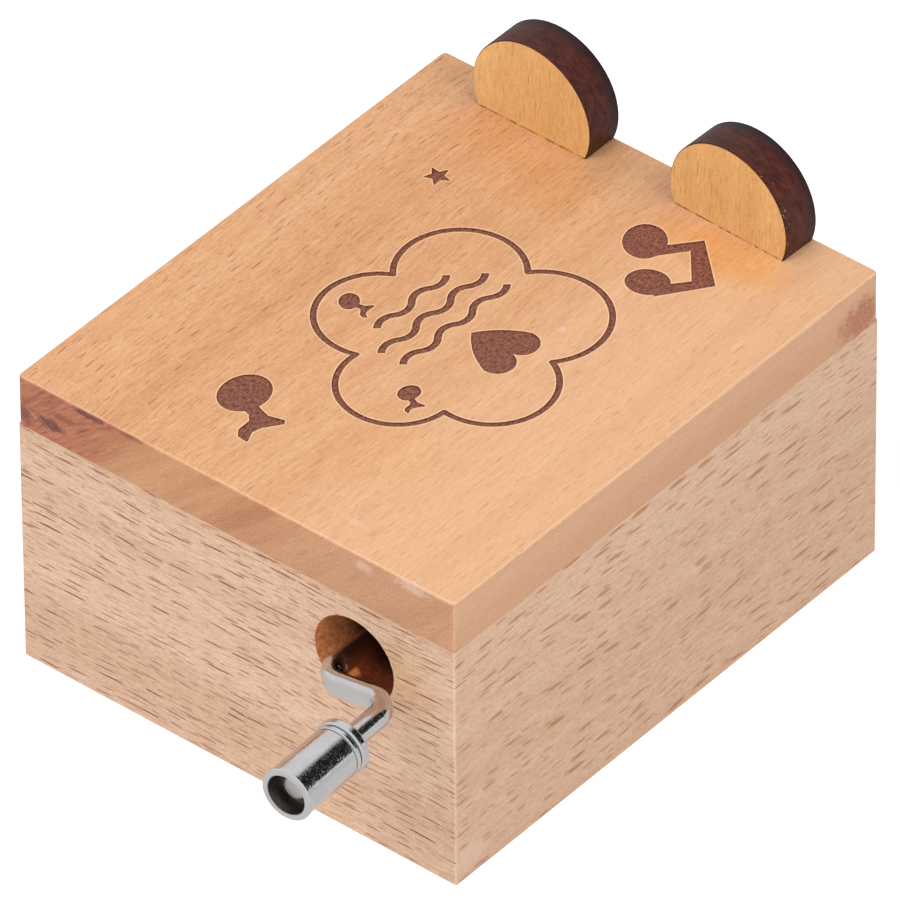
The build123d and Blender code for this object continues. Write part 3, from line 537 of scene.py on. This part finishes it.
# Middle, reach and strength of each scorched patch on the lid's front.
end_burns = (
    ((-23.0, front_face, 30.9), (2.6, 2.0, 0.95), 0.75),
    ((-18.0, front_face, 34.6), (2.8, 2.0, 0.60), 0.75),
    ((-13.0, front_face, 34.7), (2.6, 2.0, 0.40), 0.45),
    ((-21.3, front_face, 32.5), (2.0, 2.0, 0.60), 0.40),
    ((-26.0, front_face, 30.6), (1.2, 2.0, 1.6), 0.50),
)

# Lean, start, lowest and highest point of each pale scratch across the scorch.
end_scratches = (
    (0.62, -7.0, 29.4, 31.8),
    (0.62, -6.2, 29.6, 31.2),
    (0.35, -4.6, 33.4, 35.0),
)


def lid_end_colour(recipe, place, x, z):
    """End grain on the lid's front and back: leaning growth bands, red and scorched at the left."""
    leaning = recipe.maths("MULTIPLY_ADD", z, -1.15, x)
    slant = recipe.join(leaning, recipe.maths("MULTIPLY", z, 0.25), 2.0)
    bands = recipe.noise(slant, 0.20, 3.0, 0.6)
    streaks = recipe.noise(slant, 2.2, 5.0, 0.75)
    pores = recipe.noise(place, 5.0, 4.0, 0.75)
    colour = recipe.blend(recipe.rise(bands, 0.32, 0.68), end_tones["light"], end_tones["dark"])
    colour = recipe.blend(share_of(recipe, recipe.rise(x, 0.0, 18.0), 0.60), colour,
                          end_tones["right"])
    colour = recipe.tint(share_of(recipe, recipe.rise(pores, 0.38, 0.70), 0.75), colour,
                         end_tones["pores"])
    colour = recipe.blend(share_of(recipe, recipe.rise(streaks, 0.50, 0.70), 0.38), colour,
                          end_tones["streak"])
    colour = recipe.blend(share_of(recipe, recipe.rise(streaks, 0.42, 0.28), 0.30), colour,
                          end_tones["pale"])
    border = recipe.maths("MULTIPLY_ADD", recipe.maths("SUBTRACT", z, lid_top), 0.9, -12.5)
    border = recipe.maths("MULTIPLY_ADD", recipe.noise(slant, 0.6, 4.0, 0.7), 9.0, border)
    redder = recipe.rise(recipe.maths("SUBTRACT", border, x), 2.0, 8.5)
    red = recipe.blend(recipe.rise(streaks, 0.30, 0.72), end_tones["red"], end_tones["dark_red"])
    colour = recipe.blend(share_of(recipe, redder, 0.85), colour, red)
    colour = patched(recipe, recipe.blend, colour, end_tones["burnt"], place, end_burns,
                     ragged=1.8, fineness=1.4)
    scorch_x, scorch_z = -18.0, 31.0
    for lean, start, low, high in end_scratches:
        line = recipe.maths("MULTIPLY_ADD", recipe.maths("SUBTRACT", x, start + scorch_x), lean, z)
        off_line = recipe.maths("ABSOLUTE", recipe.maths("SUBTRACT", line, scorch_z))
        near = recipe.rise(off_line, 0.07, 0.02)
        held = recipe.maths("MULTIPLY", recipe.rise(z, low, low + 0.3),
                            recipe.rise(z, high, high - 0.3))
        left = recipe.rise(x, -16.0, -17.0)
        scratch = recipe.maths("MULTIPLY", recipe.maths("MULTIPLY", near, held), left)
        colour = recipe.blend(share_of(recipe, scratch, 0.55), colour, end_tones["scratch"])
    return colour, pores


side_edge_look = {
    "light": (0.582, 0.342, 0.202, 1), "dark": (0.520, 0.284, 0.158, 1),
    "pale": (0.624, 0.384, 0.245, 1),
    "fibre": (0.420, 0.205, 0.100, 1), "fibre_share": 0.22, "speckle_share": 0.38,
    "mark": (0.430, 0.170, 0.095, 1), "dark_mark": (0.270, 0.080, 0.045, 1),
}


def lid_side_colour(recipe, place, y, z):
    """Edge grain on the lid's sides, with a red brown mark at the back of the right side."""
    lines = recipe.use(grain, Along=y, Across=z, Depth=5.0, Wander=1.5, Wander_Length=30.0,
                       Stretch=6.0, Fineness=2.4)
    colour = fibred(recipe, lines, side_edge_look)
    dark = recipe.use(patch, Place=place, Middle=(case_half[0], 29.3, 31.0), Reach=(3.0, 4.0, 3.0),
                      Ragged=1.5, Fineness=0.9)["Mask"]
    mark = recipe.blend(recipe.rise(lines["Speckle"], 0.35, 0.65), side_edge_look["mark"],
                        side_edge_look["dark_mark"])
    return recipe.blend(share_of(recipe, dark, 0.80), colour, mark)


lid_tones = {
    # The first two tones are for edges rubbed pale with a painted highlight.
    "highlit_rubbed_edge": (0.800, 0.540, 0.360, 1), "highlit_rubbed_edge_left": (0.680, 0.390, 0.280, 1),
    # The cut border tone is a painted highlight beside the engraving.
    "cut_edge_highlight": (0.960, 0.700, 0.410, 1), "cut_outline": (0.070, 0.022, 0.014, 1),
    "cut": (0.330, 0.130, 0.082, 1), "dark_cut": (0.090, 0.022, 0.014, 1),
    "scuff": (0.74, 0.56, 0.47, 1),
}

# Middle, reach and strength of each pale scuff on the lid.
lid_scuffs = (
    ((16.0, front_face, 33.9), (1.5, 2.0, 0.80), 0.35),
    ((21.8, front_face, 34.4), (2.6, 2.0, 0.80), 0.40),
    ((9.0, 6.0, lid_top), (0.7, 0.6, 2.0), 0.35),
    ((23.5, 14.5, lid_top), (0.4, 1.2, 2.0), 0.30),
    ((12.0, -28.5, lid_top), (1.4, 0.6, 2.0), 0.25),
)

# The strip along the board's edges that holds no engraving ends softly.
plain_strip = 0.6
plain_strip_end = 1.0

# How far the painted highlight beside the engraving's edge reaches.
cut_highlight_reach = 0.30


def lid_beech():
    """Lid: three cuts of one board, a brown engraving with a painted highlight along its border,
    edges rubbed pale with a painted highlight, scuffs.
    """
    material, recipe, shader = finish_named("lid_beech")
    place, (x, y, z), (face_x, face_y, face_z) = surface(recipe)
    top, lines, marks = lid_top_colour(recipe, place, x, y)
    end, pores = lid_end_colour(recipe, place, x, z)
    side = lid_side_colour(recipe, place, y, z)
    on_end = recipe.rise(recipe.maths("SUBTRACT", face_y, face_z), -0.15, 0.15)
    on_side = recipe.rise(recipe.maths("SUBTRACT", face_x, recipe.maths("MAXIMUM", face_z, face_y)),
                          -0.15, 0.15)
    colour = recipe.blend(on_end, top, end)
    colour = recipe.blend(on_side, colour, side)
    # Edges rubbed pale, with a painted highlight along them.
    wear_and_edge_highlight = recipe.use(edges, Place=place, Width=0.22, Seed=15.0)["Mask"]
    highlit_rubbed_edge = recipe.blend(recipe.rise(x, -6.0, -16.0), lid_tones["highlit_rubbed_edge"], lid_tones["highlit_rubbed_edge_left"])
    colour = recipe.blend(share_of(recipe, wear_and_edge_highlight, 0.28), colour, highlit_rubbed_edge)

    # The engraving is everything inside the board's outline that lies below its top face.
    inside_x = recipe.rise(recipe.maths("ABSOLUTE", x), case_half[0] - plain_strip,
                           case_half[0] - plain_strip_end)
    inside_y = recipe.rise(recipe.maths("ABSOLUTE", y), case_half[1] - plain_strip,
                           case_half[1] - plain_strip_end)
    inside = recipe.maths("MULTIPLY", inside_x, inside_y)
    engraved = recipe.maths("MULTIPLY", recipe.rise(z, lid_top - 0.004, lid_top - 0.03), inside)
    # Painted highlight: a pale band on the top face along the engraving's border, found from the
    # bevelled normal.
    near_cut = recipe.add("ShaderNodeBevel", {"Radius": cut_highlight_reach / MM},
                          samples=4).outputs[0]
    flat = recipe.split(near_cut)[2]
    border = recipe.maths("MULTIPLY", recipe.rise(flat, 0.998, 0.94), inside)
    colour = recipe.blend(share_of(recipe, border, 0.80), colour, lid_tones["cut_edge_highlight"])
    streaks = recipe.noise(recipe.join(recipe.maths("MULTIPLY", x, 3.0),
                                       recipe.maths("MULTIPLY", y, 1.2), 0.0), 1.7, 5.0, 0.75)
    burnt = recipe.blend(recipe.rise(streaks, 0.34, 0.66), lid_tones["cut"], lid_tones["dark_cut"])
    outline = recipe.rise(flat, 0.995, 0.85)
    burnt = recipe.blend(share_of(recipe, outline, 0.3), burnt, lid_tones["cut_outline"])
    colour = recipe.blend(engraved, colour, burnt)

    colour = patched(recipe, recipe.blend, colour, lid_tones["scuff"], place, lid_scuffs,
                     ragged=2.0, fineness=2.4)
    recipe.give(shader.inputs["Base Color"], colour)
    rough = recipe.maths("MULTIPLY_ADD", lines["Fibres"], 0.14, 0.42)
    recipe.give(shader.inputs["Roughness"], recipe.maths("MULTIPLY_ADD", engraved, 0.22, rough))
    shader.inputs["Specular IOR Level"].default_value = 0.32
    relief = recipe.maths("MULTIPLY_ADD", lines["Speckle"], 0.5, lines["Fibres"])
    relief = recipe.maths("SUBTRACT", relief, recipe.maths("MULTIPLY", marks, 0.6))
    relief = recipe.blend(on_end, relief, pores)
    relief = recipe.blend(engraved, relief, recipe.maths("MULTIPLY", streaks, 2.0))
    bump(recipe, shader, relief, depth_mm=0.05, strength=0.5)
    return material


ear_look = {
    "light": (0.815, 0.490, 0.207, 1), "dark": (0.730, 0.402, 0.152, 1),
    "pale": (0.920, 0.640, 0.340, 1),
    "fibre": (0.540, 0.265, 0.095, 1), "fibre_share": 0.40, "speckle_share": 0.38,
    "char": (0.036, 0.010, 0.008, 1), "light_char": (0.095, 0.024, 0.015, 1),
    "back_char": (0.012, 0.010, 0.013, 1),
    "chips": (0.62, 0.42, 0.34, 1), "glue_and_foot_shade": (0.30, 0.18, 0.13, 1),
}


def ear_wood():
    """Ears: golden faces with thin upright flecks, and a rim scorched red brown to black."""
    material, recipe, shader = finish_named("ear_wood")
    place, (x, y, z), (_, face_y, _) = surface(recipe)
    lines = recipe.use(grain, Along=z, Across=x, Depth=8.0, Wander=0.8, Wander_Length=12.0,
                       Stretch=6.0, Fineness=3.4)
    colour = fibred(recipe, lines, ear_look)
    layers = [
        dash_layer((0.300, 0.120, 0.035, 1), 0.60, length=1.00, width=0.050, pitch=(2.4, 0.95),
                   share=0.55, crisp=0.50, seed=6.1),
        dash_layer((0.460, 0.210, 0.070, 1), 0.55, length=0.50, width=0.050, pitch=(1.3, 0.50),
                   share=0.50, crisp=0.50, seed=2.7),
    ]
    colour, marks = dashed(recipe, z, lines["Bent Across"], layers, colour)
    on_rim = recipe.rise(face_y, 0.97, 0.80)
    char_place = recipe.vectors("MULTIPLY", place, (0.8, 1.6, 0.8))
    char = recipe.noise(char_place, 1.0, 6.0, 0.75)
    rim = recipe.blend(recipe.rise(char, 0.35, 0.68), ear_look["char"], ear_look["light_char"])
    behind = recipe.rise(recipe.maths("MULTIPLY_ADD", char, 1.5, y), case_half[1] - 1.2,
                         case_half[1] + 0.6)
    rim = recipe.blend(share_of(recipe, behind, 0.9), rim, ear_look["back_char"])
    low = recipe.maths("SUBTRACT", z, lid_top)
    chips = recipe.rise(recipe.noise(place, 2.6, 4.0, 0.8), 0.60, 0.68)
    by_face = recipe.rise(y, case_half[1] - 3.2, case_half[1] - 4.3)
    chips = recipe.maths("MULTIPLY", recipe.maths("MULTIPLY", chips, by_face),
                         recipe.rise(x, 13.0, 17.0))
    rim = recipe.blend(share_of(recipe, chips, 0.7), rim, ear_look["chips"])
    colour = recipe.blend(on_rim, colour, rim)
    # Glue and painted shade: darker, uneven, at the foot of the ear where it meets the lid.
    glue_and_foot_shade = recipe.rise(low, 0.30, 0.06)
    smear = recipe.rise(recipe.noise(place, 1.3, 4.0, 0.7), 0.36, 0.60)
    colour = recipe.tint(recipe.maths("MULTIPLY", glue_and_foot_shade, smear), colour, ear_look["glue_and_foot_shade"])
    recipe.give(shader.inputs["Base Color"], colour)
    recipe.give(shader.inputs["Roughness"], recipe.maths("MULTIPLY_ADD", on_rim, -0.14, 0.58))
    recipe.give(shader.inputs["Specular IOR Level"],
                recipe.maths("MULTIPLY_ADD", on_rim, -0.16, 0.32))
    relief = recipe.maths("SUBTRACT", lines["Fibres"], marks)
    bump(recipe, shader, recipe.blend(on_rim, relief, recipe.maths("MULTIPLY", char, 2.0)),
         depth_mm=0.05, strength=0.6)
    return material


def metal(name, colour, second, roughness, roughness_swing, relief_mm, stretch):
    """A bare or plated metal: two close tones, uneven gloss and fine working marks."""
    material, recipe, shader = finish_named(name)
    place, _, _ = surface(recipe)
    marks = recipe.noise(recipe.vectors("MULTIPLY", place, stretch), 2.0, 4.0, 0.6)
    cloud = recipe.noise(place, 0.35, 3.0, 0.5)
    recipe.give(shader.inputs["Base Color"],
                recipe.blend(recipe.rise(cloud, 0.3, 0.7), colour, second))
    shader.inputs["Metallic"].default_value = 1.0
    recipe.give(shader.inputs["Roughness"],
                recipe.maths("MULTIPLY_ADD", marks, roughness_swing, roughness))
    bump(recipe, shader, marks, depth_mm=relief_mm, strength=0.4)
    return material


nickel_tones = {
    "plate": (0.665, 0.662, 0.675, 1), "dull_plate": (0.610, 0.606, 0.615, 1),
    # Painted shade and reflected wood for the inside of the knob's mouth:
    "stain": (0.200, 0.150, 0.105, 1), "dark_mouth_shade": (0.080, 0.055, 0.038, 1),
}


def bright_nickel():
    """Polished plate on the crank: specks of dust, and painted brown shade with reflected wood
    inside the knob's mouth.
    """
    material, recipe, shader = finish_named("bright_nickel")
    place, _, _ = surface(recipe)
    specks = recipe.rise(recipe.noise(place, 4.5, 4.0, 0.8), 0.50, 0.70)
    cloud = recipe.noise(place, 0.5, 3.0, 0.5)
    colour = recipe.blend(recipe.rise(cloud, 0.3, 0.7), nickel_tones["plate"],
                          nickel_tones["dull_plate"])
    from_joint = recipe.vectors("SUBTRACT", place, knob_point)
    depth = recipe.vectors("DOT_PRODUCT", from_joint, knob_axis)
    on_axis = recipe.vectors("MULTIPLY", recipe.join(depth, depth, depth), knob_axis)
    radius = recipe.vectors("LENGTH", recipe.vectors("SUBTRACT", from_joint, on_axis))
    in_mouth = recipe.maths("MULTIPLY",
                            recipe.rise(radius, mouth_radius + 0.10, mouth_radius + 0.03),
                            recipe.rise(depth, mouth_floor - 0.1, mouth_floor + 0.1))
    on_rivet = recipe.maths("MULTIPLY",
                            recipe.rise(radius, rivet_radius + 0.05, rivet_radius - 0.02),
                            recipe.rise(depth, mouth_floor + 0.05, mouth_floor + 0.25))
    # Painted shade and reflected wood: inside the mouth, around the rivet, the plate is brown.
    mouth_shaded = recipe.maths("MULTIPLY", in_mouth, recipe.maths("SUBTRACT", 1.0, on_rivet))
    stain = recipe.blend(recipe.rise(recipe.noise(place, 2.2, 4.0, 0.7), 0.3, 0.7),
                         nickel_tones["stain"], nickel_tones["dark_mouth_shade"])
    colour = recipe.blend(recipe.maths("MULTIPLY", mouth_shaded, 0.9), colour, stain)
    recipe.give(shader.inputs["Base Color"], colour)
    shader.inputs["Metallic"].default_value = 1.0
    rough = recipe.maths("MULTIPLY_ADD", specks, 0.10, 0.06)
    recipe.give(shader.inputs["Roughness"], recipe.maths("MULTIPLY_ADD", in_mouth, 0.30, rough))
    bump(recipe, shader, specks, depth_mm=0.012, strength=0.35)
    return material


def dress(material, *names):
    """Gives a finish to pieces of the frame."""
    for name in names:
        frame["nodes"][name].data.materials.clear()
        frame["nodes"][name].data.materials.append(material)


dress(front_beech(), "front_wall", "back_wall")
dress(side_beech(), "left_wall", "right_wall")
dress(base_beech(), "base_board")
dress(lid_beech(), "lid_board")
dress(ear_wood(), "left_ear", "right_ear")
dress(bright_nickel(), "crank_wire", "crank_knob")

# Two tones, roughness and its swing, relief in millimetres, the stretch of the marks, the pieces.
metals = {
    "screw_steel": ((0.62, 0.62, 0.63, 1), (0.52, 0.52, 0.52, 1), 0.22, 0.20, 0.01, (1, 1, 6),
                    ("base_screws", "movement_screws", "bracket_screws", "comb_screws")),
    "cast_zinc": ((0.42, 0.42, 0.43, 1), (0.33, 0.33, 0.34, 1), 0.42, 0.25, 0.06, (1, 1, 1),
                  ("bedplate",)),
    "sheet_steel": ((0.60, 0.60, 0.61, 1), (0.52, 0.52, 0.53, 1), 0.24, 0.20, 0.01, (1, 6, 1),
                    ("cylinder_bracket", "drive_bracket")),
    "comb_steel": ((0.66, 0.66, 0.68, 1), (0.56, 0.56, 0.57, 1), 0.16, 0.20, 0.008, (8, 1, 1),
                   ("comb",)),
    "lead": ((0.27, 0.28, 0.30, 1), (0.20, 0.20, 0.22, 1), 0.50, 0.25, 0.03, (1, 1, 1),
             ("comb_weights",)),
    "movement_brass": ((0.80, 0.58, 0.25, 1), (0.66, 0.44, 0.17, 1), 0.16, 0.20, 0.01, (8, 1, 1),
                       ("cylinder_sleeve", "left_end_cap", "right_end_cap", "worm_wheel", "worm")),
    "shaft_steel": ((0.62, 0.62, 0.64, 1), (0.55, 0.55, 0.56, 1), 0.12, 0.15, 0.006, (6, 1, 1),
                    ("cylinder_arbor", "crank_clip")),
}
for metal_name, (*look, pieces) in metals.items():
    dress(metal(metal_name, *look), *pieces)


# ---------------------------------------------------------------- room

def sheet_of(name, corner_points):
    """A flat sheet with four corners."""
    mesh = bpy.data.meshes.new(name)
    mesh.from_pydata(corner_points, [], [(0, 1, 2, 3)])
    sheet = bpy.data.objects.new(name, mesh)
    bpy.context.scene.collection.objects.link(sheet)
    return sheet


floor_reach = 8.0
floor_tone = (0.92, 0.92, 0.92, 1)
floor_in_metal = (0.62, 0.61, 0.60, 1)
floor_glow = 0.40


def pale_floor():
    """A plain pale floor under the box, a little darker where polished metal mirrors it."""
    reach = floor_reach
    floor = sheet_of("floor", [(-reach, -reach, 0), (reach, -reach, 0), (reach, reach, 0),
                               (-reach, reach, 0)])
    material, recipe, shader = finish_named("pale_floor")
    path = recipe.add("ShaderNodeLightPath")
    mirrored = path.outputs["Is Glossy Ray"]
    recipe.give(shader.inputs["Base Color"], recipe.blend(mirrored, floor_tone, floor_in_metal))
    shader.inputs["Roughness"].default_value = 0.9
    shader.inputs["Emission Color"].default_value = (1, 1, 1, 1)
    glow = recipe.maths("MULTIPLY", path.outputs["Is Camera Ray"], floor_glow)
    recipe.give(shader.inputs["Emission Strength"], glow)
    floor.data.materials.append(material)


def dark_card():
    """A card, seen only in reflections and paler to its left, that draws the dark line on metal."""
    y = 0.60
    left, right, low, high = -0.20, 1.20, 0.20, 1.20
    dark_until, pale_from = 0.26, -0.06
    darkest, added_glow = 0.02, 0.88
    card = sheet_of("dark_card",
                    [(left, y, low), (right, y, low), (right, y, high), (left, y, high)])
    material, recipe, shader = finish_named("dark_card")
    shader.inputs["Base Color"].default_value = (0.0, 0.0, 0.0, 1)
    shader.inputs["Roughness"].default_value = 1.0
    shader.inputs["Specular IOR Level"].default_value = 0.0
    shader.inputs["Emission Color"].default_value = (1, 1, 1, 1)
    place = recipe.add("ShaderNodeTexCoord").outputs["Object"]
    fade = recipe.rise(recipe.split(place)[0], dark_until, pale_from)
    recipe.give(shader.inputs["Emission Strength"],
                recipe.maths("MULTIPLY_ADD", fade, added_glow, darkest))
    card.data.materials.append(material)
    card.visible_camera = False
    card.visible_diffuse = False
    card.visible_shadow = False


def softbox(name, azimuth, elevation, distance, size, watts):
    """A square soft light that looks at the box.  Azimuth 0 is in front of the crank side."""
    light = bpy.data.lights.new(name, "AREA")
    light.shape = "SQUARE"
    light.size = size
    light.energy = watts
    lamp = bpy.data.objects.new(name, light)
    a, e = radians(azimuth), radians(elevation)
    back = Vector((sin(a) * cos(e), -cos(a) * cos(e), sin(e)))
    lamp.location = Vector((0, 0, lid_top / 2 / MM)) + back * distance
    lamp.rotation_mode = "QUATERNION"
    lamp.rotation_quaternion = (-back).to_track_quat("-Z", "Y")
    bpy.context.scene.collection.objects.link(lamp)
    lamp.visible_camera = False
    lamp.visible_glossy = False


def studio_world():
    """Even white surroundings: softer on what is lit than in reflections."""
    world = bpy.data.worlds.new("studio")
    world.use_nodes = True
    world.node_tree.nodes.clear()
    recipe = Recipe(world.node_tree)
    path = recipe.add("ShaderNodeLightPath")
    on_lit, added_in_metal, added_in_view = 0.48, 0.42, 0.50
    level = recipe.maths("MULTIPLY_ADD", path.outputs["Is Glossy Ray"], added_in_metal, on_lit)
    level = recipe.maths("MULTIPLY_ADD", path.outputs["Is Camera Ray"], added_in_view, level)
    background = recipe.add("ShaderNodeBackground", {"Color": (1, 1, 1, 1), "Strength": level})
    recipe.add("ShaderNodeOutputWorld", {"Surface": background.outputs[0]})
    bpy.context.scene.world = world


def photo_camera():
    """A long lens at the photograph's angle.  The picture is 900 pixels square."""
    azimuth, elevation, roll = radians(39.8501), radians(39.7198), radians(-0.48723)
    distance = 1.76769
    aim_right, aim_up = -0.00015332, 0.01474821
    focal_share = 20.29052
    back = Vector((sin(azimuth) * cos(elevation), -cos(azimuth) * cos(elevation), sin(elevation)))
    right = Vector((0, 0, 1)).cross(back).normalized()
    up = back.cross(right)
    rolled_right = right * cos(roll) + up * sin(roll)
    rolled_up = up * cos(roll) - right * sin(roll)
    data = bpy.data.cameras.new("photo_camera")
    data.sensor_width = 36.0
    data.lens = data.sensor_width * focal_share
    data.clip_start = 0.1
    data.clip_end = 50.0
    camera = bpy.data.objects.new("photo_camera", data)
    place = rolled_right * aim_right + rolled_up * aim_up + back * distance
    axes = Matrix((rolled_right, rolled_up, back)).transposed()
    camera.matrix_world = Matrix.Translation(place) @ axes.to_4x4()
    bpy.context.scene.collection.objects.link(camera)
    bpy.context.scene.camera = camera


pale_floor()
dark_card()
studio_world()
softbox("key_light", azimuth=-8, elevation=50, distance=0.75, size=0.55, watts=4.0)
softbox("side_light", azimuth=88, elevation=32, distance=0.75, size=0.55, watts=3.0)
photo_camera()
bpy.context.scene.view_settings.view_transform = "Standard"
